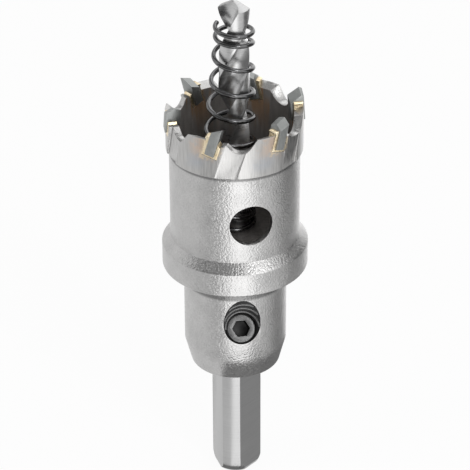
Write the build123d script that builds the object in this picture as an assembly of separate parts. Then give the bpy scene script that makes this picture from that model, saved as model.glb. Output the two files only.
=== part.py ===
"""Carbide-tipped hole saw with pilot drill, ejector spring and set screw.

The saw stands on the end of its shank, with +Z along its axis towards the drill point
and the origin in the middle of the shank's end face. -Y is the front, the side with the
chip hole and the set screw. An azimuth is counted from the front, and it grows to the
right as the front is looked at, which is also the way in which the teeth cut.
All lengths are in millimetres and all angles in degrees.
"""
import os
from math import atan2, cos, degrees, radians, sin, sqrt, tan

from build123d import *

# Shank, round with three flats for a drill chuck
shank_diameter = 10.0
shank_length = 25.6
shank_flat_to_axis = 3.9
shank_flat_count = 3
shank_flat_azimuth = 49.0
shank_end_inset = 0.7
shank_end_height = 1.7

# Hub, which clamps the pilot drill
hub_diameter = 20.1
hub_height = 22.2
hub_end_diameter = 17.6
hub_taper_height = 5.1
hub_edge = 0.25

# Collar, which stops the cut at full depth
collar_step = 1.65
collar_height = 4.9
collar_cone_height = 1.8
collar_edge = 0.3

# Cup with its thicker cutting ring
cutting_diameter = 27.0
tip_outer_overhang = 0.35
tip_inner_overhang = 0.7
ring_wall = 1.85
cup_wall = 1.25
cup_depth = 25.1
cup_floor_above_collar = 1.5
floor_fillet = 1.0
ring_height = 8.35
ring_edge_height = 0.4
rim_drop_inwards = 0.85

# Chip hole through the cup wall
chip_hole_diameter = 8.4
chip_hole_azimuth = 14.9
chip_hole_above_floor = 6.45

# Teeth, gullets and flutes
tooth_count = 6
first_tooth_azimuth = -17.0
tooth_lean = 16.0
tip_thickness = 1.85
tip_above_rim = 2.65
tip_below_rim = 3.35
tip_clearance_angle = 20.0
tip_side_relief = 0.1
tip_corner_drops = ((0.25, 0.6, 1.3), (0.95, 1.5, 0.5))
braze_behind_tip = 0.55
braze_under_tip = 0.5
braze_before_tip = 0.65
braze_fillet = 0.55
lip_below_rim = 1.2
gullet_depth = 2.75
gullet_lip_length = 1.24
gullet_floor_start = 3.6
gullet_floor_end = 6.0
gullet_end = 7.7
gullet_fillet = 2.2
flute_width = 4.1
flute_lean = 17.0
flute_azimuth = 11.0
flute_offset = 0.75
flute_depth = 0.59

# Pilot drill
drill_diameter = 6.0
drill_length = 75.0
drill_point_above_rim = 22.9
drill_point_angle = 118.0
drill_flute_length = 42.0
drill_flute_pitch = 33.6
drill_web = 1.1
drill_flute_radius = 3.1
drill_margin_angle = 9.5
drill_body_clearance = 0.14
drill_flute_azimuth = -21.5
drill_bore_clearance = 0.05

# Ejector spring, wound left-handed in round wire
spring_wire = 0.9
spring_wire_sides = 8
spring_bottom_radius = 4.55
spring_top_radius = 3.52
spring_aside = 0.85
spring_top_below_point = 5.5
spring_top_azimuth = -115.0
spring_pitch = 5.2
spring_end_pitch = 0.95
spring_top_pitch = 1.94
spring_bottom_turns = 1.2
spring_top_turns = 1.45
spring_seat_gap = 0.02
spring_points_per_turn = 8

# Set screw in its slanted threaded hole
screw_diameter = 6.0
screw_length = 5.6
screw_socket = 3.0
screw_socket_depth = 2.4
screw_face_diameter = 5.3
screw_point_diameter = 1.5
screw_thread_clearance = 0.05
screw_slant = 35.0
screw_azimuth = 8.0
screw_hole_height = 38.2
screw_mouth_diameter = 7.7
screw_point_gap = 0.02

# Heights and radii that follow from the sizes above
shank_radius = shank_diameter / 2
hub_bottom = shank_length
hub_top = hub_bottom + hub_height
collar_top = hub_top + collar_height
cone_top = collar_top + collar_cone_height
cup_floor = cone_top + cup_floor_above_collar
rim_height = cup_floor + cup_depth
ring_bottom = rim_height - ring_height
cutting_radius = cutting_diameter / 2
ring_radius = cutting_radius - tip_outer_overhang
bore_radius = ring_radius - ring_wall
cup_radius = bore_radius + cup_wall
collar_radius = cup_radius + collar_step
hub_radius = hub_diameter / 2
drill_radius = drill_diameter / 2
drill_point = rim_height + drill_point_above_rim
drill_bottom = drill_point - drill_length
drill_bore_radius = drill_radius + drill_bore_clearance
tooth_pitch = 360.0 / tooth_count


def at_azimuth(azimuth):
    """Turn from the front to an azimuth."""
    return Rot(0, 0, azimuth)


def turned(outline):
    """The solid that an outline of (radius, height) makes as it turns round +Z."""
    return revolve(Plane.XZ * outline, Axis.Z)


def turned_profile(points):
    """The solid that straight lines between (radius, height) points make."""
    return turned(make_face(Polyline(*points, close=True)))


def turned_body():
    """The steel body as it leaves the lathe: shank, hub, collar, cup and ring."""
    hub_end = hub_end_diameter / 2
    end_face = (shank_radius - shank_end_inset, 0)
    end_round = (shank_radius, shank_end_height)
    steps = [
        end_round,
        (shank_radius, hub_bottom),
        (hub_end - hub_edge, hub_bottom),
        (hub_end, hub_bottom + hub_edge),
        (hub_radius, hub_bottom + hub_taper_height),
        (hub_radius, hub_top),
        (collar_radius - collar_edge, hub_top),
        (collar_radius, hub_top + collar_edge),
        (collar_radius, collar_top),
        (cup_radius, cone_top),
        (cup_radius, ring_bottom),
        (ring_radius, ring_bottom + ring_edge_height),
        (ring_radius, rim_height),
        (bore_radius, rim_height - rim_drop_inwards),
        (bore_radius, cup_floor),
        (drill_bore_radius, cup_floor),
        (drill_bore_radius, drill_bottom),
        (0, drill_bottom),
        (0, 0),
        end_face,
    ]
    rounding = TangentArc(end_round, end_face, tangent=(0, -1))
    outline = make_face(Polyline(*steps) + rounding)
    corner = outline.vertices().sort_by_distance((bore_radius, cup_floor))[0]
    return turned(fillet(corner, floor_fillet))


def shank_flats():
    """The three slabs that are milled off the shank."""
    centre = Pos(0, -shank_flat_to_axis - shank_radius / 2, hub_bottom / 2)
    slab = centre * Box(shank_diameter, shank_radius, hub_bottom)
    step = 360.0 / shank_flat_count
    return [at_azimuth(shank_flat_azimuth + i * step) * slab for i in range(shank_flat_count)]


def chip_hole():
    """The drill that goes through the cup wall on one side only."""
    height = cup_floor + chip_hole_above_floor
    hole = Pos(0, -cup_radius, height) * Rot(90, 0, 0) * Cylinder(chip_hole_diameter / 2, bore_radius)
    return at_azimuth(chip_hole_azimuth) * hole


def screw_frame():
    """The set screw's axis: it starts where it leaves the hub, and +Z points outwards and up."""
    mouth = Pos(0, -hub_radius, screw_hole_height)
    return at_azimuth(screw_azimuth) * mouth * Rot(90 - screw_slant, 0, 0)


def screw_point_depth():
    """How far inside the mouth the set screw's point meets the drill."""
    slant = radians(screw_slant)
    point_edge = screw_point_diameter / 2 * sin(slant)
    return (hub_radius - drill_radius - screw_point_gap - point_edge) / cos(slant)


def screw_hole():
    """The funnel-shaped mouth and the threaded hole below it, at the thread's outer size."""
    recess = screw_point_depth() - screw_length
    radius = screw_diameter / 2
    mouth_radius = screw_mouth_diameter / 2
    flare = (mouth_radius - radius) / recess
    bottom = -screw_point_depth() - drill_radius
    above = mouth_radius
    profile = [
        (0, bottom),
        (radius, bottom),
        (radius, -recess),
        (mouth_radius + flare * above, above),
        (0, above),
    ]
    return screw_frame() * turned_profile(profile)


def tooth_frame():
    """A tooth at the front: X along the cut, Z up the leaning carbide, origin at the rim's height."""
    return Pos(0, 0, rim_height) * Rot(0, tooth_lean, 0)


def tip_face(corner_drops, behind):
    """The carbide's outline across the wall, at a distance behind its cutting face."""
    outer_drop, peak_inset, inner_drop = corner_drops
    narrowing = tip_side_relief * behind / tip_thickness
    outer = cutting_radius - narrowing
    inner = bore_radius - tip_inner_overhang + narrowing
    top = tip_above_rim - behind * tan(radians(tooth_lean + tip_clearance_angle))
    along = tip_thickness / 2 - behind
    points = [
        (along, -inner, -tip_below_rim),
        (along, -outer, -tip_below_rim),
        (along, -outer, top - outer_drop),
        (along, -cutting_radius + peak_inset, top),
        (along, -inner, top - inner_drop),
    ]
    return make_face(Polyline(*points, close=True))


def carbide_tip(corner_drops):
    """One carbide, with clearance behind its cutting edge and at its sides."""
    cutting_face = tip_face(corner_drops, 0)
    back_face = tip_face(corner_drops, tip_thickness)
    return tooth_frame() * loft([cutting_face, back_face], ruled=True)


def tip_seat():
    """The slot that the ring has for one carbide and its braze."""
    width = tip_thickness + braze_behind_tip + braze_before_tip
    height = tip_above_rim + tip_below_rim + braze_under_tip
    centre = (braze_before_tip - braze_behind_tip) / 2
    slot = Pos(centre, -ring_radius, -tip_below_rim - braze_under_tip) * Box(
        width, ring_radius, height, align=(Align.CENTER, Align.CENTER, Align.MIN)
    )
    return tooth_frame() * slot


def gullet():
    """The rounded notch through the wall in front of one carbide."""
    lip = rim_height - lip_below_rim
    floor = rim_height - gullet_depth
    above = rim_height + tip_above_rim
    start = tip_thickness / 2
    points = [
        (start, above),
        (start, lip),
        (start + gullet_lip_length, lip),
        (gullet_floor_start, floor),
        (gullet_floor_end, floor),
        (gullet_end, rim_height),
        (gullet_end, above),
    ]
    outline = make_face(Polyline(*points, close=True))
    corners = outline.vertices().group_by(Axis.Y)[0]
    return extrude(Plane.XZ * fillet(corners, gullet_fillet), cutting_radius)


def outer_flute():
    """The slanted flat that carries chips down the outside of the ring, just ahead of its tooth."""
    centre = Pos(0, 0, rim_height - ring_height / 2) * Rot(0, flute_lean, 0)
    floor_to_axis = ring_radius - flute_depth
    slab = Pos(flute_offset, -floor_to_axis - ring_radius / 2, 0) * Box(
        flute_width, ring_radius, 2 * ring_height
    )
    return at_azimuth(flute_azimuth) * centre * slab


def ring_envelope():
    """The ring wall without any cut."""
    profile = [
        (bore_radius, ring_bottom),
        (ring_radius, ring_bottom),
        (ring_radius, rim_height + braze_fillet),
        (bore_radius, rim_height + braze_fillet),
    ]
    return turned_profile(profile)


def braze_joint(body, tip):
    """The braze that fills the seat round a carbide, with a hollow fillet up its back."""
    front = tip_thickness / 2 + braze_before_tip
    lip = -lip_below_rim / cos(radians(tooth_lean))
    bottom = -tip_below_rim - braze_under_tip
    back = -tip_thickness / 2 - braze_behind_tip
    foot = back - braze_fillet / 2
    fillet_top = (-tip_thickness / 2, braze_fillet)
    fillet_middle = (back, braze_fillet / 4)
    fillet_foot = (foot, 0)
    outline = [
        fillet_foot,
        (foot, foot - back),
        (back, foot - back),
        (back, bottom),
        (front, bottom),
        (front, lip),
        (tip_thickness / 2, lip + braze_before_tip),
        fillet_top,
    ]
    face = make_face(Polyline(*outline) + ThreePointArc(fillet_top, fillet_middle, fillet_foot))
    block = tooth_frame() * extrude(Plane.XZ * face, cutting_radius)
    return (block & ring_envelope()) - tip - body


def cutter_body():
    """The whole steel body with its flats, holes, seats, gullets and flutes."""
    body = turned_body()
    body -= shank_flats()
    body -= chip_hole()
    body -= screw_hole()
    cuts = [tip_seat(), gullet(), outer_flute()]
    for i in range(tooth_count):
        place = at_azimuth(first_tooth_azimuth + i * tooth_pitch)
        body -= [place * cut for cut in cuts]
    return body


def polar(radius, angle):
    """A point of the drill's section."""
    return (radius * cos(radians(angle)), radius * sin(radians(angle)))


def drill_section():
    """The drill's section: two lands with narrow margins, and two round flutes."""
    relieved = drill_radius - drill_body_clearance
    flute_centre = drill_web / 2 + drill_flute_radius
    reach = (drill_radius**2 + flute_centre**2 - drill_flute_radius**2) / (2 * drill_radius * flute_centre)
    opening = degrees(atan2(sqrt(1 - reach**2), reach))
    section = Circle(relieved)
    for side in (0, 180):
        margin_edge = polar(drill_diameter, side - opening - drill_margin_angle)
        wedge = make_face(Polyline((0, 0), margin_edge, polar(drill_diameter, side), close=True))
        section += Circle(drill_radius) & wedge
    for side in (0, 180):
        section -= Pos(*polar(flute_centre, side)) * Circle(drill_flute_radius)
    return section


def pilot_drill():
    """The twist drill: fluted part, plain part and cone point."""
    fluted_bottom = drill_point - drill_flute_length
    turn = 360.0 * drill_flute_length / drill_flute_pitch
    start = drill_flute_azimuth - 90 - turn
    twisted = Solid.extrude_linear_with_rotation(
        drill_section().face(), center=(0, 0, 0), normal=(0, 0, drill_flute_length), angle=turn
    )
    fluted = Pos(0, 0, fluted_bottom) * Rot(0, 0, start) * twisted
    plain_height = drill_length - drill_flute_length
    plain = Pos(0, 0, drill_bottom) * Cylinder(
        drill_radius, plain_height, align=(Align.CENTER, Align.CENTER, Align.MIN)
    )
    point_height = drill_radius / tan(radians(drill_point_angle / 2))
    envelope = turned_profile(
        [
            (0, drill_bottom),
            (drill_radius, drill_bottom),
            (drill_radius, drill_point - point_height),
            (0, drill_point),
        ]
    )
    return (fluted + plain) & envelope


def spring_points():
    """Points along the wire's centre line, from the top end down; the lower turns lean aside."""
    wire = spring_wire / 2
    top = drill_point - spring_top_below_point
    bottom = cup_floor + wire + spring_seat_gap
    fall_top = spring_top_turns * spring_top_pitch
    fall_bottom = spring_bottom_turns * spring_end_pitch
    middle_turns = (top - bottom - fall_top - fall_bottom) / spring_pitch
    turns = spring_top_turns + middle_turns + spring_bottom_turns
    count = round(turns * spring_points_per_turn)
    points = []
    for i in range(count + 1):
        turn = turns * i / count
        middle = min(max(turn - spring_top_turns, 0), middle_turns)
        last = max(turn - spring_top_turns - middle_turns, 0)
        first = min(turn, spring_top_turns)
        height = top - first * spring_top_pitch - middle * spring_pitch - last * spring_end_pitch
        spread = min(2 * middle / middle_turns, 1)
        radius = spring_top_radius + (spring_bottom_radius - spring_top_radius) * spread
        angle = radians(spring_top_azimuth - 90 + 360 * turn)
        aside = spring_aside * spread
        points.append((radius * cos(angle) - aside, radius * sin(angle), height))
    return points


def ejector_spring():
    """The compression spring round the drill."""
    path = Spline(*spring_points())
    start = Plane(origin=path @ 0, z_dir=path % 0)
    return sweep(start * RegularPolygon(spring_wire / 2, spring_wire_sides), path, is_frenet=True)


def set_screw():
    """The grub screw with a hexagon socket and a cone point."""
    radius = screw_diameter / 2 - screw_thread_clearance
    face_radius = screw_face_diameter / 2
    point_radius = screw_point_diameter / 2
    root = radius - (screw_diameter - screw_face_diameter) / 2
    depth = screw_point_depth()
    top = screw_length - depth
    profile = [
        (0, -depth),
        (point_radius, -depth),
        (root, -depth + root - point_radius),
        (radius, -depth + radius - point_radius),
        (radius, top - (radius - face_radius)),
        (face_radius, top),
        (0, top),
    ]
    blank = turned_profile(profile)
    across_corners = screw_socket / cos(radians(30))
    socket = Pos(0, 0, top - screw_socket_depth) * extrude(
        RegularPolygon(across_corners / 2, 6), screw_socket_depth
    )
    return screw_frame() * (blank - socket)


def main():
    """Build every piece and write one STEP file for each."""
    os.makedirs("parts", exist_ok=True)
    body = cutter_body()
    export_step(body, "parts/cutter_body.step")
    tips = [carbide_tip(drops) for drops in tip_corner_drops]
    first_tooth_in_front = at_azimuth(-first_tooth_azimuth) * body
    braze = braze_joint(first_tooth_in_front, tips[0])
    for i in range(tooth_count):
        place = at_azimuth(first_tooth_azimuth + i * tooth_pitch)
        export_step(place * tips[i % len(tips)], f"parts/carbide_tip_{i + 1}.step")
        export_step(place * braze, f"parts/braze_joint_{i + 1}.step")
    export_step(pilot_drill(), "parts/pilot_drill.step")
    export_step(ejector_spring(), "parts/ejector_spring.step")
    export_step(set_screw(), "parts/set_screw.step")


main()
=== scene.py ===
"""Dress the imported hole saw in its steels, carbide and braze, and set it on a pale studio floor.

Places are in metres in the saw's own frame: +Z runs up the axis to the drill point, and -Y is the
front, the side with the chip hole and the set screw. An azimuth is counted from the front and
grows to the right as the front is looked at.
"""
from collections import namedtuple
from math import cos, hypot, pi, radians, sin, tan

import bmesh
import bpy
from mathutils import Matrix, Vector


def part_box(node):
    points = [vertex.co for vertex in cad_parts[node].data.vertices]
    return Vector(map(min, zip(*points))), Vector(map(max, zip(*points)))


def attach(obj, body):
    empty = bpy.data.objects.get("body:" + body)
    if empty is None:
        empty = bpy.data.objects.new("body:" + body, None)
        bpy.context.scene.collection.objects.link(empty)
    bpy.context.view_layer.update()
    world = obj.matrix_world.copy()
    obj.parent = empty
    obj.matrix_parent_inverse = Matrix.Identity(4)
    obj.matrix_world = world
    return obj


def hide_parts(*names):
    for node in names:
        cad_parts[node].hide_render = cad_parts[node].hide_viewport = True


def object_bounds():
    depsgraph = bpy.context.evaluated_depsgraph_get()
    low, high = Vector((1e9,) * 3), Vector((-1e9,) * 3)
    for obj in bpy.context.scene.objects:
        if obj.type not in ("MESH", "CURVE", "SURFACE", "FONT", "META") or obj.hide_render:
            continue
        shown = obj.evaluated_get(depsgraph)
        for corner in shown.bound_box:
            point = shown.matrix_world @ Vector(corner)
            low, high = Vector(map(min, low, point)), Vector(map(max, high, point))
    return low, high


bl_info = {
    "name": "Hole saw dressing",
    "version": (1, 0, 0),
    "blender": (4, 5, 0),
    "location": "3D View > Sidebar > Hole Saw",
    "description": "Finishes a small carbide-tipped hole saw and its studio stage",
    "category": "Object",
}

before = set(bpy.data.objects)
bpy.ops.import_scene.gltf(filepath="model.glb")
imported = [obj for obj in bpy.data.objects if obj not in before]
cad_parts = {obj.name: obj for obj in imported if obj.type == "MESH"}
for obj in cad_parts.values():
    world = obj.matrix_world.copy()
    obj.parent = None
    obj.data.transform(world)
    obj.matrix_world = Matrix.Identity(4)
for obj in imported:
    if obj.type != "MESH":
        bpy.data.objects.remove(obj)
cad_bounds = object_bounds()

MM = 0.001
BODY = "root"
TOOTH_COUNT = 6
BRAZE_NODES = [f"braze_joint_{i + 1}" for i in range(TOOTH_COUNT)]
TIP_NODES = [f"carbide_tip_{i + 1}" for i in range(TOOTH_COUNT)]

rim_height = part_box("cutter_body")[1].z
drill_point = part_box("pilot_drill")[1].z

# The front's direction in degrees from +X
FRONT = -90.0

# A noise pattern lies between these two values nearly everywhere
PATTERN_LOW, PATTERN_MIDDLE, PATTERN_HIGH = 0.3, 0.5, 0.7

# Sockets of a Mix node, whose names repeat: the factor, the first and the second
MIX_VALUES = (0, 2, 3)
MIX_COLOURS = (0, 6, 7)
MIX_COLOUR_RESULT = 2

# How packed triangles are joined, and how edges are broken and shaded
WELD = 0.0005 * MM
FLAT_ANGLE = 0.5
BREAK_ANGLE = 28.0
BREAK_SEGMENTS = 2
BROKEN_SHARP_ANGLE = 40.0
WIRE_SHARP_ANGLE = 50.0
ALL_SMOOTH_ANGLE = 180.0
MELT_VOXEL = 0.07 * MM
MELT_FACTOR = 0.5
MELT_ROUNDS = 4

# How finely the spring and the thread are drawn
SPRING_POINTS_PER_TURN = 48
SPRING_SIDES = 20
THREAD_STEP = radians(6.0)
THREAD_SIDES = 8

# The camera's sensor in millimetres, and how near it sees in metres
SENSOR_WIDTH = 36.0
CLIP_START = 0.01


def length(name, description, default):
    """A length in metres that a user may change."""
    return bpy.props.FloatProperty(
        name=name, description=description, default=default, unit="LENGTH", precision=6
    )


def angle(name, description, default):
    """An angle that a user may change, given in degrees."""
    return bpy.props.FloatProperty(
        name=name, description=description, default=radians(default), subtype="ANGLE"
    )


def amount(name, description, default):
    """A plain factor that a user may change."""
    return bpy.props.FloatProperty(name=name, description=description, default=default)


def colour(name, description, default):
    """A linear colour that a user may change."""
    return bpy.props.FloatVectorProperty(
        name=name, description=description, default=default, subtype="COLOR", size=3, min=0, max=1
    )


class HoleSawSizes(bpy.types.PropertyGroup):
    """Sizes of the saw that its dressing follows."""

    hub_bottom: length("Hub bottom", "Height at which the hub starts", 25.6 * MM)
    hub_radius: length("Hub radius", "Radius of the hub", 10.05 * MM)
    cup_floor: length("Cup floor", "Height of the floor inside the cup", 56.0 * MM)
    bore_radius: length("Bore radius", "Inner radius of the cup", 11.3 * MM)
    ring_radius: length("Ring radius", "Outer radius of the cutting ring", 13.15 * MM)
    ring_height: length("Ring height", "Height of the thicker cutting ring", 8.35 * MM)
    first_tooth: angle("First tooth", "Azimuth of the first tooth", -17.0)
    tooth_lean: angle("Tooth lean", "Lean of each carbide towards the cut", 16.0)
    collar_bottom: length("Collar bottom", "Height of the collar's lower edge", 47.8 * MM)
    edge_round: length("Edge round", "Width of the broken edges on the steel body", 0.08 * MM)
    tip_round: length("Tip edge round", "Width of the broken edges on the carbide", 0.05 * MM)


class HoleSawSpring(bpy.types.PropertyGroup):
    """Sizes of the ejector spring."""

    wire: length("Wire", "Diameter of the spring wire", 0.9 * MM)
    bottom_radius: length("Bottom radius", "Radius of the lower turns at the wire's middle", 4.55 * MM)
    top_radius: length("Top radius", "Radius of the last turn at the wire's middle", 3.52 * MM)
    aside: length("Aside", "How far the lower turns lie left of the drill", 0.85 * MM)
    below_point: length("Below point", "Distance of the spring's top below the drill point", 5.5 * MM)
    top_azimuth: angle("Top azimuth", "Azimuth of the spring's top end", -115.0)
    pitch: length("Pitch", "Rise of one free turn", 5.2 * MM)
    end_pitch: length("End pitch", "Rise of one closed turn at the bottom", 0.95 * MM)
    top_pitch: length("Top pitch", "Rise of one turn at the top", 1.94 * MM)
    bottom_turns: amount("Bottom turns", "Closed turns at the bottom", 1.2)
    top_turns: amount("Top turns", "Narrow turns at the top", 1.45)
    seat_gap: length("Seat gap", "Gap between the spring and the cup floor", 0.02 * MM)


class HoleSawThread(bpy.types.PropertyGroup):
    """Sizes of the set screw's slanted thread."""

    slant: angle("Slant", "Rise of the screw's axis above level", 35.0)
    azimuth: angle("Azimuth", "Azimuth of the screw", 8.0)
    height: length("Height", "Height at which the screw's axis leaves the hub", 38.2 * MM)
    radius: length("Radius", "Outer radius of the thread", 3.0 * MM)
    mouth_radius: length("Mouth radius", "Radius of the hole's mouth", 3.85 * MM)
    recess: length("Recess", "Depth of the screw's face below the mouth", 2.46 * MM)
    socket_reach: length("Socket reach", "Radius that holds the whole socket", 2.0 * MM)
    edge_round: length("Edge round", "Width of the broken edges on the screw", 0.08 * MM)
    seat_gap: length("Seat gap", "Gap between the screw's face and the first crest", 0.45 * MM)
    pitch: length("Pitch", "Rise of one turn of the thread", 1.7 * MM)
    crest: length("Crest", "Height of the thread's crest", 0.27 * MM)


class HoleSawFinish(bpy.types.PropertyGroup):
    """Colours and roughness of the saw's finishes."""

    steel: colour("Blasted steel", "Colour of the blasted body", (0.44, 0.437, 0.434))
    ring: colour("Ground steel", "Colour of the ground cutting ring", (0.42, 0.416, 0.41))
    shank: colour("Turned steel", "Colour of the smooth shank", (0.40, 0.40, 0.40))
    bore: colour("Scaled steel", "Colour of the scaled steel inside the cup", (0.24, 0.225, 0.215))
    carbide: colour("Carbide", "Colour of the sintered carbide", (0.295, 0.304, 0.299))
    braze: colour("Braze", "Colour of the braze", (0.82, 0.69, 0.47))
    drill: colour("Drill steel", "Colour of the drill", (0.47, 0.47, 0.47))
    spring: colour("Spring steel", "Colour of the spring wire", (0.128, 0.128, 0.130))
    screw: colour("Black steel", "Colour of the set screw", (0.165, 0.165, 0.165))
    straw: colour("Straw tint", "Colour of the heat tint behind each tip", (0.56, 0.42, 0.32))
    blue: colour("Blue tint", "Colour of the heat tint below the straw tint", (0.36, 0.39, 0.44))
    flux: colour("Flux", "Colour of the flux that ran down inside the cup", (0.30, 0.17, 0.08))
    bright_braze: colour("Bright braze", "Colour of the brightest braze", (0.92, 0.84, 0.66))
    # Strength of the painted shade: the blasted steel is darkened in a band under the ring's step and under
    # the collar, where shadow falls
    painted_shade: amount("Painted_shade", "Strength of the grime in the inner corners", 0.85)


class HoleSawStage(bpy.types.PropertyGroup):
    """Camera, lamps and floor of the studio."""

    camera_distance: length("Camera distance", "Distance from the camera to its aim", 0.4963)
    camera_rise: angle("Camera rise", "Rise of the camera above level", 30.85)
    camera_aim: length("Camera aim", "Height on the axis at the picture's middle", 0.0533)
    camera_roll: angle("Camera roll", "Turn of the camera about its own axis", 0.28)
    lens: amount("Lens", "Focal length in millimetres for a 36 mm sensor", 195.4)
    floor_size: length("Floor size", "Width of the pale floor", 3.0)
    floor_colour: colour("Floor colour", "Colour of the floor", (0.80, 0.80, 0.80))
    floor_show: amount("Floor show", "Share of the floor's own white that camera and gloss see", 0.93)
    world_level: amount("World level", "Strength of the studio's overall light", 0.8)
    key_power: amount("Key power", "Watts of the large lamp at the front", 1.0)
    fill_power: amount("Fill power", "Watts of the lamp at the left", 0.6)
    back_power: amount("Back power", "Watts of the lamp behind the saw", 1.0)
    strip_power: amount("Strip power", "Watts of the narrow lamp that draws the bright lines", 0.9)


def add_node(tree, kind, inputs=None, **settings):
    """Add one node, with its settings and with its inputs linked or set."""
    node = tree.nodes.new(kind)
    for key, value in settings.items():
        setattr(node, key, value)
    for key, value in (inputs or {}).items():
        if isinstance(value, bpy.types.NodeSocket):
            tree.links.new(value, node.inputs[key])
        else:
            node.inputs[key].default_value = value
    return node


def new_group(name, kind, inputs, outputs):
    """A node group with named sockets, its input node and its output node."""
    group = bpy.data.node_groups.new(name, kind)
    for label, socket_kind, default in inputs:
        socket = group.interface.new_socket(name=label, in_out="INPUT", socket_type=socket_kind)
        if default is not None:
            socket.default_value = default
    for label, socket_kind in outputs:
        group.interface.new_socket(name=label, in_out="OUTPUT", socket_type=socket_kind)
    source = group.nodes.new("NodeGroupInput")
    target = group.nodes.new("NodeGroupOutput")
    return group, source, target


def math_node(tree, operation, first, second=None):
    """The result of one Math node."""
    inputs = {0: first} if second is None else {0: first, 1: second}
    return add_node(tree, "ShaderNodeMath", inputs, operation=operation).outputs[0]


def vector_node(tree, operation, inputs, output="Vector"):
    """The result of one Vector Math node."""
    return add_node(tree, "ShaderNodeVectorMath", inputs, operation=operation).outputs[output]


def product(tree, *values):
    """Several values multiplied together."""
    result = values[0]
    for value in values[1:]:
        result = math_node(tree, "MULTIPLY", result, value)
    return result


def opaque(shade):
    """A colour with its fourth channel."""
    return (*shade, 1.0) if len(shade) == 3 else shade


def dimmed(shade, share):
    """A colour made darker by a share."""
    return tuple(channel * share for channel in shade)


def ramp(tree, factor, stops):
    """A colour ramp through (position, colour) stops; its colour output."""
    node = add_node(tree, "ShaderNodeValToRGB", {"Fac": factor})
    elements = node.color_ramp.elements
    while len(elements) < len(stops):
        elements.new(1.0)
    for element, (position, shade) in zip(elements, stops):
        element.position = position
        element.color = opaque(shade)
    return node.outputs["Color"]


def map_range(tree, value, low, high, new_low=0.0, new_high=1.0):
    """A clamped smooth change from one range to another."""
    inputs = {"Value": value, "From Min": low, "From Max": high, "To Min": new_low, "To Max": new_high}
    return add_node(tree, "ShaderNodeMapRange", inputs, interpolation_type="SMOOTHSTEP").outputs["Result"]


def rise(tree, value, start, full):
    """A mask that grows smoothly from 0 to 1."""
    return map_range(tree, value, start, full)


def fall(tree, value, start, end, strength=1.0):
    """A mask that shrinks smoothly from its strength to 0."""
    return map_range(tree, value, start, end, strength, 0.0)


def mix_colours(tree, factor, first, second):
    """Two colours mixed; the result socket."""
    second = second if isinstance(second, bpy.types.NodeSocket) else opaque(second)
    inputs = dict(zip(MIX_COLOURS, (factor, first, second)))
    return add_node(tree, "ShaderNodeMix", inputs, data_type="RGBA").outputs[MIX_COLOUR_RESULT]


shared_groups = {}


def shared(build):
    """The node group that a function builds, built once for all that use it."""
    if build not in shared_groups:
        shared_groups[build] = build()
    return shared_groups[build]


def use_group(tree, build, inputs):
    """Place a shared group in a tree."""
    return add_node(tree, "ShaderNodeGroup", inputs, node_tree=shared(build))


def around_axis_group():
    """Turn a place into its azimuth in turns and its height on the saw's axis."""
    inputs = [("Vector", "NodeSocketVector", None)]
    outputs = [("Turn", "NodeSocketFloat"), ("Height", "NodeSocketFloat")]
    group, source, target = new_group("around_axis", "ShaderNodeTree", inputs, outputs)
    parts = add_node(group, "ShaderNodeSeparateXYZ", {0: source.outputs["Vector"]})
    front = math_node(group, "MULTIPLY", parts.outputs["Y"], -1.0)
    turn = math_node(group, "DIVIDE", math_node(group, "ARCTAN2", parts.outputs["X"], front), 2 * pi)
    group.links.new(turn, target.inputs["Turn"])
    group.links.new(parts.outputs["Z"], target.inputs["Height"])
    return group


def around_tooth_group():
    """Turn a place into its distance across from the nearest leaning tooth and down from the rim."""
    inputs = [
        ("Vector", "NodeSocketVector", None),
        ("First Tooth", "NodeSocketFloat", 0.0),
        ("Slope", "NodeSocketFloat", 0.0),
        ("Rim", "NodeSocketFloat", 0.0),
        ("Radius", "NodeSocketFloat", 0.0),
    ]
    outputs = [("Across", "NodeSocketFloat"), ("Down", "NodeSocketFloat")]
    group, source, target = new_group("around_tooth", "ShaderNodeTree", inputs, outputs)
    axis = use_group(group, around_axis_group, {"Vector": source.outputs["Vector"]})
    down = math_node(group, "SUBTRACT", source.outputs["Rim"], axis.outputs["Height"])
    arc = math_node(group, "MULTIPLY", source.outputs["Radius"], 2 * pi / TOOTH_COUNT)
    lean = math_node(group, "DIVIDE", product(group, down, source.outputs["Slope"]), arc)
    turn = math_node(group, "SUBTRACT", axis.outputs["Turn"], source.outputs["First Tooth"])
    place = math_node(group, "ADD", product(group, turn, float(TOOTH_COUNT)), lean)
    half = 0.5
    share = math_node(group, "FRACT", math_node(group, "ADD", place, half))
    across = product(group, math_node(group, "SUBTRACT", share, half), arc)
    group.links.new(across, target.inputs["Across"])
    group.links.new(down, target.inputs["Down"])
    return group


def grain_group():
    """Fine grain with a coarser cloud in it: a value about 0.5 and a height for bump."""
    inputs = [
        ("Vector", "NodeSocketVector", None),
        ("Grain", "NodeSocketFloat", 0.15 * MM),
        ("Cloud", "NodeSocketFloat", 4.0 * MM),
        ("Cloud Share", "NodeSocketFloat", 0.4),
    ]
    outputs = [("Value", "NodeSocketFloat"), ("Height", "NodeSocketFloat")]
    group, source, target = new_group("fine_grain", "ShaderNodeTree", inputs, outputs)
    noises = []
    for label, detail in (("Grain", 1.0), ("Cloud", 3.0)):
        scale = math_node(group, "DIVIDE", 1.0, source.outputs[label])
        place = {"Vector": source.outputs["Vector"], "Scale": scale, "Detail": detail}
        noises.append(add_node(group, "ShaderNodeTexNoise", place).outputs["Fac"])
    mixed = dict(zip(MIX_VALUES, (source.outputs["Cloud Share"], *noises)))
    value = add_node(group, "ShaderNodeMix", mixed, data_type="FLOAT")
    group.links.new(value.outputs[0], target.inputs["Value"])
    group.links.new(noises[0], target.inputs["Height"])
    return group


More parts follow.
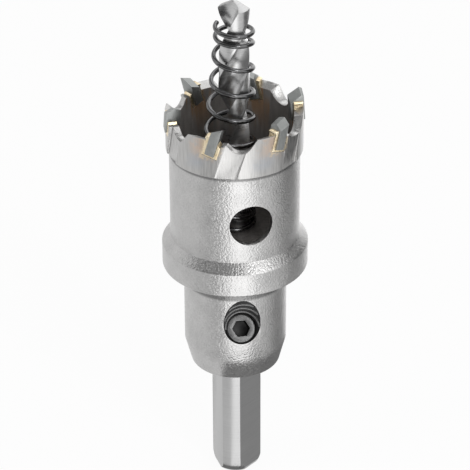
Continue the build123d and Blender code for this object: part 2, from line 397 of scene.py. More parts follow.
def scratch_group():
    """Fine parallel lines that are long up the saw's axis and short across it, or the other way."""
    inputs = [
        ("Vector", "NodeSocketVector", None),
        ("Across", "NodeSocketFloat", 0.12 * MM),
        ("Along", "NodeSocketFloat", 6.0 * MM),
    ]
    outputs = [("Value", "NodeSocketFloat")]
    group, source, target = new_group("fine_scratches", "ShaderNodeTree", inputs, outputs)
    along = math_node(group, "DIVIDE", 1.0, source.outputs["Along"])
    across = math_node(group, "DIVIDE", 1.0, source.outputs["Across"])
    scale = add_node(group, "ShaderNodeCombineXYZ", {0: across, 1: across, 2: along}).outputs[0]
    place = vector_node(group, "MULTIPLY", {0: source.outputs["Vector"], 1: scale})
    noise = add_node(group, "ShaderNodeTexNoise", {"Vector": place, "Scale": 1.0, "Detail": 3.0})
    group.links.new(noise.outputs["Fac"], target.inputs["Value"])
    return group


def bare_tree(owner, output_kind):
    """A material's or a world's emptied node tree, and its new output node."""
    owner.use_nodes = True
    tree = owner.node_tree
    tree.nodes.clear()
    return tree, tree.nodes.new(output_kind)


def new_material(name, metallic=1.0):
    """An empty material with its surface shader and the object's own coordinates."""
    material = bpy.data.materials.new(name)
    tree, output = bare_tree(material, "ShaderNodeOutputMaterial")
    surface = add_node(tree, "ShaderNodeBsdfPrincipled", {"Metallic": metallic})
    tree.links.new(surface.outputs[0], output.inputs["Surface"])
    place = tree.nodes.new("ShaderNodeTexCoord").outputs["Object"]
    return material, tree, surface, place


def shade_variation(tree, base, value, spread):
    """A colour made darker and lighter by a pattern."""
    high = tuple(min(channel, 1.0) for channel in dimmed(base, 1 + spread))
    return ramp(tree, value, [(PATTERN_LOW, dimmed(base, 1 - spread)), (PATTERN_HIGH, high)])


def set_surface(tree, surface, shade, pattern, smooth, rough, height, depth, strength):
    """Give a surface its colour, a roughness that follows a pattern, and a bump in metres."""
    tree.links.new(shade, surface.inputs["Base Color"])
    gloss = map_range(tree, pattern, PATTERN_LOW, PATTERN_HIGH, smooth, rough)
    tree.links.new(gloss, surface.inputs["Roughness"])
    bump = add_node(tree, "ShaderNodeBump", {"Strength": strength, "Distance": depth, "Height": height})
    tree.links.new(bump.outputs[0], surface.inputs["Normal"])


def fine_lines(tree, place, across, along):
    """The pattern of fine lines of one width and length."""
    sizes = {"Vector": place, "Across": across, "Along": along}
    return use_group(tree, scratch_group, sizes).outputs["Value"]


def lined_metal(name, shade, spread, across, along, smooth, rough, depth, strength):
    """Bare metal with fine lines from its cutting tool."""
    material, tree, surface, place = new_material(name)
    lines = fine_lines(tree, place, across, along)
    tint = shade_variation(tree, shade, lines, spread)
    set_surface(tree, surface, tint, lines, smooth, rough, lines, depth, strength)
    return material


def grained_metal(name, shade, metallic, grain, cloud, smooth, rough, depth, strength, spread=0.35):
    """Dark metal with a fine grain."""
    material, tree, surface, place = new_material(name, metallic)
    pattern = use_group(tree, grain_group, {"Vector": place, "Grain": grain, "Cloud": cloud}).outputs
    tint = shade_variation(tree, shade, pattern["Value"], spread)
    set_surface(tree, surface, tint, pattern["Value"], smooth, rough, pattern["Height"], depth, strength)
    return material


def tooth_place(tree, place, sizes, radius):
    """The distances across from the nearest tooth and down from the rim, on a wall of one radius."""
    values = {
        "Vector": place,
        "First Tooth": sizes.first_tooth / (2 * pi),
        "Slope": tan(sizes.tooth_lean),
        "Rim": rim_height,
        "Radius": radius,
    }
    tooth = use_group(tree, around_tooth_group, values)
    return tooth.outputs["Across"], tooth.outputs["Down"]


PaintedShadeBand = namedtuple("PaintedShadeBand", "top reach fade")


def painted_corner_shade(tree, place, bands):
    """A painted-shade mask that is 1 below the top of each of two bands and fades out at the band's foot."""
    height = use_group(tree, around_axis_group, {"Vector": place}).outputs["Height"]
    edge = 0.02 * MM
    masks = []
    for band in bands:
        below = math_node(tree, "SUBTRACT", band.top, height)
        foot = fall(tree, below, start=band.reach - band.fade, end=band.reach)
        masks.append(product(tree, rise(tree, below, start=-edge, full=edge), foot))
    return math_node(tree, "MAXIMUM", *masks)


def blasted_steel(finish, sizes):
    """Fine blasted satin steel: even grain with small glints, and painted shade in the two inner corners."""
    material, tree, surface, place = new_material("blasted_steel")
    grain = use_group(tree, grain_group, {"Vector": place, "Grain": 0.34 * MM, "Cloud": 3.0 * MM}).outputs
    tint = shade_variation(tree, finish.steel, grain["Value"], spread=0.16)
    # Painted shade: a thin band under the ring's step and a taller band under the collar, where the overhangs
    # shade the wall
    bands = (
        PaintedShadeBand(top=rim_height - sizes.ring_height, reach=0.70 * MM, fade=0.45 * MM),
        PaintedShadeBand(top=sizes.collar_bottom, reach=3.8 * MM, fade=0.7 * MM),
    )
    painted_shade = product(tree, painted_corner_shade(tree, place, bands), finish.painted_shade)
    # The painted shade darkens the steel towards 0.35 of its colour
    shade = mix_colours(tree, painted_shade, tint, dimmed(finish.steel, share=0.35))
    height = grain["Height"]
    set_surface(
        tree, surface, shade, height, smooth=0.28, rough=0.42, height=height, depth=0.10 * MM, strength=1.0
    )
    return material


def smear_mask(tree, across, down, uneven):
    """A ragged mask round the seat of the nearest tip, where braze ran out."""
    seat_side = 1.5 * MM
    seat_foot = 3.5 * MM
    beside = math_node(tree, "SUBTRACT", math_node(tree, "ABSOLUTE", across), seat_side)
    under = math_node(tree, "SUBTRACT", down, seat_foot)
    outside = {0: math_node(tree, "MAXIMUM", beside, 0.0), 1: math_node(tree, "MAXIMUM", under, 0.0)}
    corner = add_node(tree, "ShaderNodeCombineXYZ", outside).outputs[0]
    away = vector_node(tree, "LENGTH", {0: corner}, output="Value")
    raggedness = 2.2 * MM
    ragged = math_node(tree, "ADD", away, product(tree, uneven, raggedness))
    return fall(tree, ragged, start=0.0, end=0.8 * MM, strength=0.6)


def ground_steel(finish, sizes):
    """The ground cutting ring: upright grinding lines, braze run out round each tip, and a heat tint."""
    material, tree, surface, place = new_material("ground_steel")
    lines = fine_lines(tree, place, across=0.14 * MM, along=3.0 * MM)
    shade = shade_variation(tree, finish.ring, lines, spread=0.16)
    across, down = tooth_place(tree, place, sizes, sizes.ring_radius)
    cloud = {"Vector": place, "Grain": 0.6 * MM, "Cloud": 2.5 * MM, "Cloud Share": 0.4}
    pattern = use_group(tree, grain_group, cloud).outputs["Value"]
    uneven = math_node(tree, "SUBTRACT", pattern, PATTERN_MIDDLE)
    wander_reach = 6.0 * MM
    wander = product(tree, uneven, wander_reach)
    aside = math_node(tree, "ADD", across, wander)
    straw = product(
        tree,
        rise(tree, aside, start=-5.2 * MM, full=-2.0 * MM),
        fall(tree, across, start=0.0, end=2.6 * MM),
        fall(tree, math_node(tree, "ADD", down, wander), start=2.0 * MM, end=5.4 * MM, strength=0.70),
    )
    shade = mix_colours(tree, straw, shade, finish.straw)
    blue = product(
        tree,
        rise(tree, aside, start=-5.5 * MM, full=-3.0 * MM),
        fall(tree, across, start=-2.0 * MM, end=0.5 * MM),
        rise(tree, down, start=3.2 * MM, full=4.6 * MM),
        fall(tree, down, start=5.2 * MM, end=7.6 * MM, strength=0.40),
    )
    shade = mix_colours(tree, blue, shade, finish.blue)
    smear = smear_mask(tree, across, down, uneven)
    shade = mix_colours(tree, smear, shade, dimmed(finish.braze, share=0.9))
    set_surface(
        tree, surface, shade, lines, smooth=0.28, rough=0.42, height=lines, depth=0.016 * MM, strength=0.5
    )
    return material


def milled_steel(finish):
    """Milled steel in the gullets and the flutes."""
    return lined_metal(
        "milled_steel", finish.ring, spread=0.18, across=0.14 * MM, along=2.0 * MM,
        smooth=0.26, rough=0.40, depth=0.015 * MM, strength=0.5,
    )


def turned_steel(finish):
    """The smooth shank, with faint rings from the lathe."""
    return lined_metal(
        "turned_steel", finish.shank, spread=0.07, across=8.0 * MM, along=0.10 * MM,
        smooth=0.28, rough=0.36, depth=0.006 * MM, strength=0.3,
    )


def drill_steel(finish):
    """Bright ground drill steel with fine lines across its length."""
    return lined_metal(
        "drill_steel", finish.drill, spread=0.10, across=2.5 * MM, along=0.12 * MM,
        smooth=0.27, rough=0.37, depth=0.004 * MM, strength=0.3,
    )


def spring_steel(finish):
    """Dark glossy drawn wire."""
    return grained_metal(
        "spring_steel", finish.spring, metallic=1.0, grain=0.2 * MM, cloud=2.0 * MM,
        smooth=0.12, rough=0.22, depth=0.008 * MM, strength=0.3,
    )


def black_steel(name, shade):
    """Blackened screw steel with a fine grain; its darkened copies are painted shade in the screw hole and
    the socket.
    """
    return grained_metal(
        name, shade, metallic=0.9, grain=0.14 * MM, cloud=1.2 * MM,
        smooth=0.34, rough=0.50, depth=0.02 * MM, strength=0.5,
    )


def scaled_steel(finish, sizes):
    """Scaled dark steel inside the cup, with brown flux that ran down the wall below each tooth."""
    material, tree, surface, place = new_material("scaled_steel", metallic=0.5)
    streaks = fine_lines(tree, place, across=0.7 * MM, along=6.0 * MM)
    tint = shade_variation(tree, finish.bore, streaks, spread=0.18)
    across, down = tooth_place(tree, place, sizes, sizes.bore_radius)
    raggedness = 7.0 * MM
    ragged = product(tree, math_node(tree, "SUBTRACT", streaks, PATTERN_MIDDLE), raggedness)
    aside = math_node(tree, "ABSOLUTE", math_node(tree, "ADD", across, ragged))
    run = product(
        tree,
        fall(tree, aside, start=1.0 * MM, end=2.8 * MM),
        fall(tree, down, start=2.0 * MM, end=12.0 * MM, strength=0.85),
    )
    shade = mix_colours(tree, run, tint, finish.flux)
    grain = use_group(tree, grain_group, {"Vector": place, "Grain": 0.25 * MM}).outputs
    set_surface(
        tree, surface, shade, grain["Value"], smooth=0.40, rough=0.58,
        height=grain["Height"], depth=0.04 * MM, strength=0.6,
    )
    return material


def carbide(finish):
    """Matte sintered carbide, faintly blue-green, with fine grinding lines."""
    material, tree, surface, place = new_material("carbide")
    grain = use_group(tree, grain_group, {"Vector": place, "Grain": 0.12 * MM, "Cloud": 1.5 * MM})
    lines = fine_lines(tree, place, across=0.08 * MM, along=2.0 * MM)
    half = 0.5
    value = product(tree, math_node(tree, "ADD", grain.outputs["Value"], lines), half)
    shade = shade_variation(tree, finish.carbide, value, spread=0.30)
    set_surface(
        tree, surface, shade, value, smooth=0.40, rough=0.55, height=value, depth=0.02 * MM, strength=0.5
    )
    return material


def braze(finish):
    """Pale gold braze with a few dull and brown patches."""
    material, tree, surface, place = new_material("braze")
    pattern = {"Vector": place, "Grain": 0.3 * MM, "Cloud": 1.4 * MM, "Cloud Share": 0.7}
    grain = use_group(tree, grain_group, pattern).outputs
    dull_share = (0.66, 0.62, 0.58)
    dull = tuple(channel * share for channel, share in zip(finish.braze, dull_share))
    dull_end = 0.34
    stops = [(dull_end, dull), (PATTERN_MIDDLE, finish.braze), (PATTERN_HIGH, finish.bright_braze)]
    set_surface(
        tree, surface, ramp(tree, grain["Value"], stops), grain["Value"], smooth=0.42, rough=0.24,
        height=grain["Height"], depth=0.03 * MM, strength=0.5,
    )
    return material


def link_piece(name, mesh):
    """A new object in the scene that holds a mesh."""
    piece = bpy.data.objects.new(name, mesh)
    bpy.context.scene.collection.objects.link(piece)
    return piece


def merged_copy(node, name):
    """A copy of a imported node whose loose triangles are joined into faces."""
    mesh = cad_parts[node].data.copy()
    mesh.name = name
    shape = bmesh.new()
    shape.from_mesh(mesh)
    bmesh.ops.remove_doubles(shape, verts=shape.verts, dist=WELD)
    bmesh.ops.dissolve_degenerate(shape, edges=shape.edges, dist=WELD)
    bmesh.ops.dissolve_limit(
        shape,
        angle_limit=radians(FLAT_ANGLE),
        verts=shape.verts,
        edges=shape.edges,
        use_dissolve_boundaries=False,
    )
    shape.to_mesh(mesh)
    shape.free()
    mesh.materials.clear()
    return link_piece(name, mesh)


def finished_mesh(piece, sharp_angle):
    """Apply a piece's modifiers and set which of its edges stay sharp."""
    bpy.context.view_layer.update()
    evaluated = piece.evaluated_get(bpy.context.evaluated_depsgraph_get())
    mesh = bpy.data.meshes.new_from_object(evaluated)
    mesh.name = piece.name
    piece.modifiers.clear()
    piece.data = mesh
    mesh.polygons.foreach_set("use_smooth", [True] * len(mesh.polygons))
    mesh.set_sharp_from_angle(angle=radians(sharp_angle))
    return piece


def break_edges(piece, width):
    """Round off the sharp edges of a piece by a small width."""
    bevel = piece.modifiers.new("break_edges", "BEVEL")
    bevel.width = width
    bevel.segments = BREAK_SEGMENTS
    bevel.limit_method = "ANGLE"
    bevel.angle_limit = radians(BREAK_ANGLE)
    bevel.use_clamp_overlap = False
    bevel.miter_outer = "MITER_ARC"
    even = piece.modifiers.new("even_shading", "WEIGHTED_NORMAL")
    even.keep_sharp = True
    return finished_mesh(piece, BROKEN_SHARP_ANGLE)


def assign_slots(piece, materials, zone_of):
    """Give each face of a piece the material of its zone."""
    names = list(materials)
    for name in names:
        piece.data.materials.append(materials[name])
    for face in piece.data.polygons:
        face.material_index = names.index(zone_of(face))


class ScrewHole:
    """The slanted axis of the set screw, which starts where it leaves the hub, and its funnel."""

    def __init__(self, thread, hub_radius):
        level = Vector((sin(thread.azimuth), -cos(thread.azimuth), 0))
        self.mouth = level * hub_radius + Vector((0, 0, thread.height))
        self.along = level * cos(thread.slant) + Vector((0, 0, sin(thread.slant)))
        self.side = self.along.cross(Vector((0, 0, 1))).normalized()
        self.up = self.side.cross(self.along)
        self.thread = thread

    def wall(self, depth):
        """The hole's radius at a depth below the mouth."""
        flare = (self.thread.mouth_radius - self.thread.radius) / self.thread.recess
        return self.thread.radius + max(self.thread.recess - depth, 0) * flare

    def point(self, depth, bend):
        """The place on the wall at a depth below the mouth and an angle about the axis."""
        ray = self.side * cos(bend) + self.up * sin(bend)
        return self.mouth - self.along * depth + ray * self.wall(depth)

    def measure(self, spot):
        """A place's depth below the mouth and its distance from the axis."""
        depth = (self.mouth - spot).dot(self.along)
        return depth, (spot - self.mouth + self.along * depth).length


def body_zone(sizes, thread):
    """A function that names the finish of a face of the steel body."""
    near = 0.06 * MM
    hole_slack = 3 * near
    upright = 0.2
    hole = ScrewHole(thread, sizes.hub_radius)

    def zone_of(face):
        spot = face.center
        radius = hypot(spot.x, spot.y)
        if spot.z < sizes.hub_bottom - near:
            return "turned"
        if spot.z > sizes.cup_floor - near and radius < sizes.bore_radius + near:
            return "scaled"
        if spot.z > rim_height - sizes.ring_height and radius > sizes.bore_radius:
            on_ring = abs(radius - sizes.ring_radius) < near and abs(face.normal.z) < upright
            return "ground" if on_ring else "milled"
        depth, away = hole.measure(spot)
        under_mouth = depth < sizes.hub_radius and away < hole.wall(depth) + hole_slack
        inside_hub = spot.z < sizes.collar_bottom and radius < sizes.hub_radius - near
        return "hole" if under_mouth and inside_hub else "blasted"

    return zone_of


class HOLESAW_OT_cutter_body(bpy.types.Operator):
    """Dress the steel body: shank, hub, collar, cup and cutting ring"""

    bl_idname = "hole_saw.cutter_body"
    bl_label = "Steel body"

    def execute(self, context):
        sizes = context.scene.hole_saw_sizes
        finish = context.scene.hole_saw_finish
        piece = break_edges(merged_copy("cutter_body", "steel_body"), sizes.edge_round)
        materials = {
            "blasted": blasted_steel(finish, sizes),
            "ground": ground_steel(finish, sizes),
            "milled": milled_steel(finish),
            "turned": turned_steel(finish),
            "scaled": scaled_steel(finish, sizes),
            # Painted shade: the hole's wall in the hub gets the screw's black steel at 0.6 of its colour,
            # darker than the thread's crests
            "hole": black_steel("hole_steel", dimmed(finish.screw, share=0.6)),
        }
        assign_slots(piece, materials, body_zone(sizes, context.scene.hole_saw_thread))
        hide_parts("cutter_body")
        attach(piece, BODY)
        return {"FINISHED"}


class HOLESAW_OT_carbide_tips(bpy.types.Operator):
    """Dress the six carbide tips, with their edges broken and their faces ground"""

    bl_idname = "hole_saw.carbide_tips"
    bl_label = "Carbide tips"

    def execute(self, context):
        sizes = context.scene.hole_saw_sizes
        material = carbide(context.scene.hole_saw_finish)
        for node in TIP_NODES:
            piece = break_edges(merged_copy(node, node + "_ground"), sizes.tip_round)
            piece.data.materials.append(material)
            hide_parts(node)
            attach(piece, BODY)
        return {"FINISHED"}


class HOLESAW_OT_braze_joints(bpy.types.Operator):
    """Dress the six braze joints as metal that flowed and set"""

    bl_idname = "hole_saw.braze_joints"
    bl_label = "Braze joints"

    def execute(self, context):
        material = braze(context.scene.hole_saw_finish)
        for node in BRAZE_NODES:
            piece = merged_copy(node, node + "_flowed")
            remesh = piece.modifiers.new("even_faces", "REMESH")
            remesh.mode = "VOXEL"
            remesh.voxel_size = MELT_VOXEL
            melt = piece.modifiers.new("melt", "SMOOTH")
            melt.factor = MELT_FACTOR
            melt.iterations = MELT_ROUNDS
            finished_mesh(piece, ALL_SMOOTH_ANGLE)
            piece.data.materials.append(material)
            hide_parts(node)
            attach(piece, BODY)
        return {"FINISHED"}


class HOLESAW_OT_pilot_drill(bpy.types.Operator):
    """Dress the pilot drill in bright ground steel"""

    bl_idname = "hole_saw.pilot_drill"
    bl_label = "Pilot drill"

    def execute(self, context):
        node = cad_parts["pilot_drill"]
        node.data.materials.clear()
        node.data.materials.append(drill_steel(context.scene.hole_saw_finish))
        return {"FINISHED"}


def spring_line(spring, sizes):
    """Points along the wire's middle, from the top end down, winding left-handed."""
    top = drill_point - spring.below_point
    bottom = sizes.cup_floor + spring.wire / 2 + spring.seat_gap
    fall_top = spring.top_turns * spring.top_pitch
    fall_bottom = spring.bottom_turns * spring.end_pitch
    middle_turns = (top - bottom - fall_top - fall_bottom) / spring.pitch
    turns = spring.top_turns + middle_turns + spring.bottom_turns
    count = round(turns * SPRING_POINTS_PER_TURN)
    points = []
    for i in range(count + 1):
        turn = turns * i / count
        middle = min(max(turn - spring.top_turns, 0), middle_turns)
        last = max(turn - spring.top_turns - middle_turns, 0)
        first = min(turn, spring.top_turns)
        height = top - first * spring.top_pitch - middle * spring.pitch - last * spring.end_pitch
        spread = min(2 * middle / middle_turns, 1)
        radius = spring.top_radius + (spring.bottom_radius - spring.top_radius) * spread
        direction = spring.top_azimuth + radians(FRONT + 360 * turn)
        aside = spring.aside * spread
        points.append((radius * cos(direction) - aside, radius * sin(direction), height))
    return points


def line_object(name, runs):
    """A mesh of edges through one or more runs of points, for a node tree to work on."""
    mesh = bpy.data.meshes.new(name)
    points = [point for run in runs for point in run]
    edges = []
    start = 0
    for run in runs:
        edges += [(start + i, start + i + 1) for i in range(len(run) - 1)]
        start += len(run)
    mesh.from_pydata(points, edges, [])
    return link_piece(name, mesh)


def wire_tree():
    """A node tree that draws a round wire along a line of edges."""
    inputs = [
        ("Geometry", "NodeSocketGeometry", None),
        ("Wire Radius", "NodeSocketFloat", 0.45 * MM),
        ("Sides", "NodeSocketInt", SPRING_SIDES),
        ("Material", "NodeSocketMaterial", None),
    ]
    outputs = [("Geometry", "NodeSocketGeometry")]
    tree, source, target = new_group("wire_along_line", "GeometryNodeTree", inputs, outputs)
    line = add_node(tree, "GeometryNodeMeshToCurve", {0: source.outputs["Geometry"]})
    ring = add_node(
        tree,
        "GeometryNodeCurvePrimitiveCircle",
        {"Resolution": source.outputs["Sides"], "Radius": source.outputs["Wire Radius"]},
        mode="RADIUS",
    )
    wire = add_node(
        tree,
        "GeometryNodeCurveToMesh",
        {"Curve": line.outputs[0], "Profile Curve": ring.outputs[0], "Fill Caps": True},
    )
    real = add_node(tree, "GeometryNodeRealizeInstances", {0: wire.outputs[0]})
    dressed = add_node(
        tree, "GeometryNodeSetMaterial", {"Geometry": real.outputs[0], "Material": source.outputs["Material"]}
    )
    tree.links.new(dressed.outputs[0], target.inputs[0])
    return tree


def draw_wire(piece, values):
    """Run the wire's tree on a piece with named input values, and keep the plain mesh that it makes."""
    tree = shared(wire_tree)
    modifier = piece.modifiers.new(tree.name, "NODES")
    modifier.node_group = tree
    for item in tree.interface.items_tree:
        if item.in_out == "INPUT" and item.name in values:
            modifier[item.identifier] = values[item.name]
    finished_mesh(piece, WIRE_SHARP_ANGLE)


class HOLESAW_OT_ejector_spring(bpy.types.Operator):
    """Wind the ejector spring in round wire round the drill"""

    bl_idname = "hole_saw.ejector_spring"
    bl_label = "Ejector spring"

    def execute(self, context):
        spring = context.scene.hole_saw_spring
        piece = line_object("wound_spring", [spring_line(spring, context.scene.hole_saw_sizes)])
        material = spring_steel(context.scene.hole_saw_finish)
        draw_wire(piece, {"Wire Radius": spring.wire / 2, "Sides": SPRING_SIDES, "Material": material})
        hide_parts("ejector_spring")
        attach(piece, BODY)
        return {"FINISHED"}


class HOLESAW_OT_set_screw(bpy.types.Operator):
    """Dress the set screw, with its edges broken and its socket painted near black as shade"""

    bl_idname = "hole_saw.set_screw"
    bl_label = "Set screw"

    def execute(self, context):
        scene = context.scene
        thread = scene.hole_saw_thread
        finish = scene.hole_saw_finish
        hole = ScrewHole(thread, scene.hole_saw_sizes.hub_radius)
        piece = break_edges(merged_copy("set_screw", "grub_screw"), thread.edge_round)
        materials = {
            "face": black_steel("black_steel", finish.screw),
            # Painted shade: the socket gets the screw's own black steel at 0.15 of its colour
            "socket": black_steel("socket_steel", dimmed(finish.screw, share=0.15)),
        }

        def zone_of(face):
            depth, away = hole.measure(face.center)
            in_socket = away < thread.socket_reach and depth > thread.recess + thread.edge_round
            return "socket" if in_socket else "face"

        assign_slots(piece, materials, zone_of)
        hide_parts("set_screw")
        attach(piece, BODY)
        return {"FINISHED"}


def thread_runs(thread, sizes):
    """The thread's crest in the funnel-shaped mouth, as the runs that lie inside the hub."""
    hole = ScrewHole(thread, sizes.hub_radius)
    turns = 2 * thread.recess / thread.pitch
    runs = [[]]
    for i in range(int(turns * 2 * pi / THREAD_STEP) + 1):
        bend = i * THREAD_STEP
        depth = thread.recess - thread.seat_gap - thread.pitch * bend / (2 * pi)
        spot = hole.point(depth, bend)
        if hypot(spot.x, spot.y) < sizes.hub_radius - thread.crest:
            runs[-1].append(tuple(spot))
        elif runs[-1]:
            runs.append([])
    shortest = 3
    return [run for run in runs if len(run) >= shortest]


class HOLESAW_OT_screw_thread(bpy.types.Operator):
    """Cut the thread's crests that show in the mouth above the set screw"""

    bl_idname = "hole_saw.screw_thread"
    bl_label = "Screw thread"

    def execute(self, context):
        scene = context.scene
        thread = scene.hole_saw_thread
        piece = line_object("thread_crests", thread_runs(thread, scene.hole_saw_sizes))
        material = black_steel("thread_steel", dimmed(scene.hole_saw_finish.screw, share=0.9))
        draw_wire(piece, {"Wire Radius": thread.crest, "Sides": THREAD_SIDES, "Material": material})
        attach(piece, BODY)
        return {"FINISHED"}


def aim_matrix(target, lift, turn, distance):
    """A place at a distance from a target, looking at it."""
    back = Vector((sin(turn) * cos(lift), -cos(turn) * cos(lift), sin(lift)))
    return Matrix.Translation(target + back * distance) @ back.to_track_quat("Z", "Y").to_matrix().to_4x4()


# A lamp's power is the name of its setting, and its rise and turn are in degrees
Lamp = namedtuple("Lamp", "name power size rise turn")

LAMP_DISTANCE = 0.8
LAMPS = (
    Lamp("key_lamp", "key_power", size=(0.30, 0.50), rise=40.0, turn=22.0),
    Lamp("fill_lamp", "fill_power", size=(0.40, 0.60), rise=25.0, turn=-70.0),
    Lamp("back_lamp", "back_power", size=(0.50, 0.50), rise=55.0, turn=170.0),
    Lamp("strip_lamp", "strip_power", size=(0.06, 0.30), rise=35.0, turn=35.0),
)


def area_lamp(lamp, power, target):
    """A large soft lamp that looks at a target."""
    data = bpy.data.lights.new(lamp.name, "AREA")
    data.shape = "RECTANGLE"
    data.size, data.size_y = lamp.size
    data.energy = power
    place = aim_matrix(target, radians(lamp.rise), radians(lamp.turn), LAMP_DISTANCE)
    link_piece(lamp.name, data).matrix_world = place


# The height of a card that lies just above the floor
NEAR_FLOOR = 0.0004

# Each profile is what a card shows from the side, as (distance from the axis, height) in metres
SHANK_FLOOR = ((0.0035, NEAR_FLOOR), (0.046, NEAR_FLOOR))
STRIPE_FLOOR = ((0.0064, NEAR_FLOOR), (0.046, NEAR_FLOOR))
END_FLOOR = ((0.0035, NEAR_FLOOR), (0.0064, NEAR_FLOOR))
HUB_FLOOR = ((0.046, NEAR_FLOOR), (0.088, NEAR_FLOOR))
CUP_WALL = ((0.106, NEAR_FLOOR), (0.12, NEAR_FLOOR), (0.12, 0.16))
FAR_WALL = ((0.046, NEAR_FLOOR), (0.12, NEAR_FLOOR), (0.12, 0.07))
BACK_WALL = ((0.03, 0.0005), (0.20, 0.0005), (0.20, 0.25))
SKY = ((0.30, 0.10), (0.30, 0.33), (0.12, 0.45))
TAPER_SHELF = ((0.0083, 0.0243), (0.016, 0.0243))

Card = namedtuple("Card", "name glow start end profile")

# A card runs round the saw from its start to its end, both azimuths in degrees
CARD_STEPS = 24
CARDS = (
    Card("shank_flag", 0.46, 30.0, 140.0, SHANK_FLOOR),
    Card("hub_flag", 0.32, 76.0, 130.0, HUB_FLOOR),
    Card("cup_flag", 0.20, 76.0, 128.0, CUP_WALL),
    Card("shank_reflector", 1.75, -16.0, 29.0, STRIPE_FLOOR),
    Card("end_flag", 0.30, -40.0, 29.0, END_FLOOR),
    Card("front_reflector", 2.35, -14.0, 28.0, FAR_WALL),
    Card("left_flag", 0.70, -54.0, -14.5, FAR_WALL),
    Card("left_reflector", 1.02, -160.0, -88.0, BACK_WALL),
    Card("back_reflector", 1.5, 141.0, 175.0, BACK_WALL),
    Card("sky_flag", 0.25, -80.0, 22.0, SKY),
    Card("right_sky", 1.5, 36.0, 84.0, SKY),
    Card("left_sky", 1.4, -117.0, -84.0, SKY),
    Card("drill_flag", 0.25, -165.0, -119.0, SKY),
    Card("drill_reflector", 1.7, 112.0, 150.0, SKY),
    Card("taper_flag", 0.25, -20.0, 120.0, TAPER_SHELF),
)


def white_glow(tree, strength):
    """A shader that gives off white."""
    inputs = {"Color": opaque((1.0, 1.0, 1.0)), "Strength": strength}
    return add_node(tree, "ShaderNodeEmission", inputs).outputs[0]


def bent_card(card):
    """A bent card round the saw that shows in its gloss alone, as a studio's flag or reflector."""
    mesh = bpy.data.meshes.new(card.name)
    points = []
    for i in range(CARD_STEPS + 1):
        bend = radians(card.start + (card.end - card.start) * i / CARD_STEPS)
        points += [(reach * sin(bend), -reach * cos(bend), height) for reach, height in card.profile]
    row = len(card.profile)
    starts = [i * row + j for i in range(CARD_STEPS) for j in range(row - 1)]
    mesh.from_pydata(points, [], [(first, first + 1, first + row + 1, first + row) for first in starts])
    material = bpy.data.materials.new(card.name)
    tree, output = bare_tree(material, "ShaderNodeOutputMaterial")
    tree.links.new(white_glow(tree, card.glow), output.inputs["Surface"])
    mesh.materials.append(material)
    piece = link_piece(card.name, mesh)
    piece.visible_camera = False
    piece.visible_diffuse = False
    piece.visible_transmission = False
    piece.visible_shadow = False


def seen_directly(tree):
    """1 to the camera, in gloss and through glass, and 0 where light only falls on something."""
    rays = tree.nodes.new("ShaderNodeLightPath")
    seen = math_node(tree, "MAXIMUM", rays.outputs["Is Camera Ray"], rays.outputs["Is Glossy Ray"])
    return math_node(tree, "MAXIMUM", seen, rays.outputs["Is Transmission Ray"])


def floor_material(stage):
    """Pale floor whose white shows to the camera and in gloss, and which keeps the saw's shadow."""
    material = bpy.data.materials.new("pale_floor")
    tree, output = bare_tree(material, "ShaderNodeOutputMaterial")
    matte = add_node(tree, "ShaderNodeBsdfDiffuse", {"Color": opaque(stage.floor_colour)})
    share = product(tree, seen_directly(tree), stage.floor_show)
    both = {0: share, 1: matte.outputs[0], 2: white_glow(tree, strength=1.0)}
    tree.links.new(add_node(tree, "ShaderNodeMixShader", both).outputs[0], output.inputs["Surface"])
    return material


def studio_floor(stage):
    """The pale floor under the saw."""
    half = stage.floor_size / 2
    mesh = bpy.data.meshes.new("floor")
    corners = [(-half, -half, 0), (half, -half, 0), (half, half, 0), (-half, half, 0)]
    mesh.from_pydata(corners, [], [(0, 1, 2, 3)])
    mesh.materials.append(floor_material(stage))
    link_piece("floor", mesh)


def studio_world(stage):
    """Even studio light that shows as white to the camera and in gloss."""
    world = bpy.data.worlds.new("studio")
    bpy.context.scene.world = world
    tree, output = bare_tree(world, "ShaderNodeOutputWorld")
    level = map_range(tree, seen_directly(tree), 0.0, 1.0, stage.world_level, 1.0)
    light = add_node(tree, "ShaderNodeBackground", {"Strength": level})
    tree.links.new(light.outputs[0], output.inputs["Surface"])


def studio_camera(stage):
    """The camera at the photo's viewing angle."""
    data = bpy.data.cameras.new("camera")
    data.sensor_width = SENSOR_WIDTH
    data.lens = stage.lens
    data.clip_start = CLIP_START
    aim = Vector((0, 0, stage.camera_aim))
    roll = Matrix.Rotation(-stage.camera_roll, 4, "Z")
    camera = link_piece("camera", data)
    camera.matrix_world = aim_matrix(aim, stage.camera_rise, 0.0, stage.camera_distance) @ roll
    bpy.context.scene.camera = camera


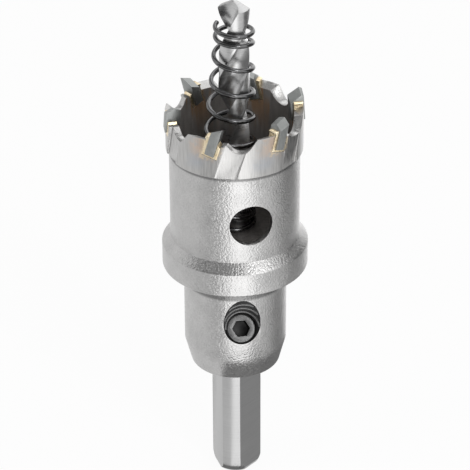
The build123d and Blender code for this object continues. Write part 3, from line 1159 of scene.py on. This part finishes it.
class HOLESAW_OT_stage(bpy.types.Operator):
    """Set up the pale floor, the soft lamps and the camera"""

    bl_idname = "hole_saw.stage"
    bl_label = "Studio stage"

    def execute(self, context):
        stage = context.scene.hole_saw_stage
        studio_floor(stage)
        studio_world(stage)
        middle = Vector((0, 0, (cad_bounds[0][2] + cad_bounds[1][2]) / 2))
        for lamp in LAMPS:
            area_lamp(lamp, getattr(stage, lamp.power), middle)
        for card in CARDS:
            bent_card(card)
        studio_camera(stage)
        context.scene.view_settings.view_transform = "Standard"
        return {"FINISHED"}


class HOLESAW_PT_panel(bpy.types.Panel):
    """Lists the steps that dress the saw"""

    bl_label = "Hole Saw"
    bl_idname = "HOLESAW_PT_panel"
    bl_space_type = "VIEW_3D"
    bl_region_type = "UI"
    bl_category = "Hole Saw"

    def draw(self, context):
        for step in STEPS:
            self.layout.operator(step.bl_idname)


STEPS = (
    HOLESAW_OT_stage,
    HOLESAW_OT_cutter_body,
    HOLESAW_OT_carbide_tips,
    HOLESAW_OT_braze_joints,
    HOLESAW_OT_pilot_drill,
    HOLESAW_OT_ejector_spring,
    HOLESAW_OT_set_screw,
    HOLESAW_OT_screw_thread,
)
SETTINGS = {
    "hole_saw_sizes": HoleSawSizes,
    "hole_saw_spring": HoleSawSpring,
    "hole_saw_thread": HoleSawThread,
    "hole_saw_finish": HoleSawFinish,
    "hole_saw_stage": HoleSawStage,
}


def register():
    """Register the settings, the steps and the panel."""
    for name, settings in SETTINGS.items():
        bpy.utils.register_class(settings)
        setattr(bpy.types.Scene, name, bpy.props.PointerProperty(type=settings))
    for step in STEPS:
        bpy.utils.register_class(step)
    bpy.utils.register_class(HOLESAW_PT_panel)


def unregister():
    """Take out what register added."""
    bpy.utils.unregister_class(HOLESAW_PT_panel)
    for step in reversed(STEPS):
        bpy.utils.unregister_class(step)
    for name, settings in reversed(SETTINGS.items()):
        delattr(bpy.types.Scene, name)
        bpy.utils.unregister_class(settings)


def main():
    """Dress the saw step by step."""
    register()
    for step in STEPS:
        family, name = step.bl_idname.split(".")
        getattr(getattr(bpy.ops, family), name)()


if __name__ == "__main__":
    main()
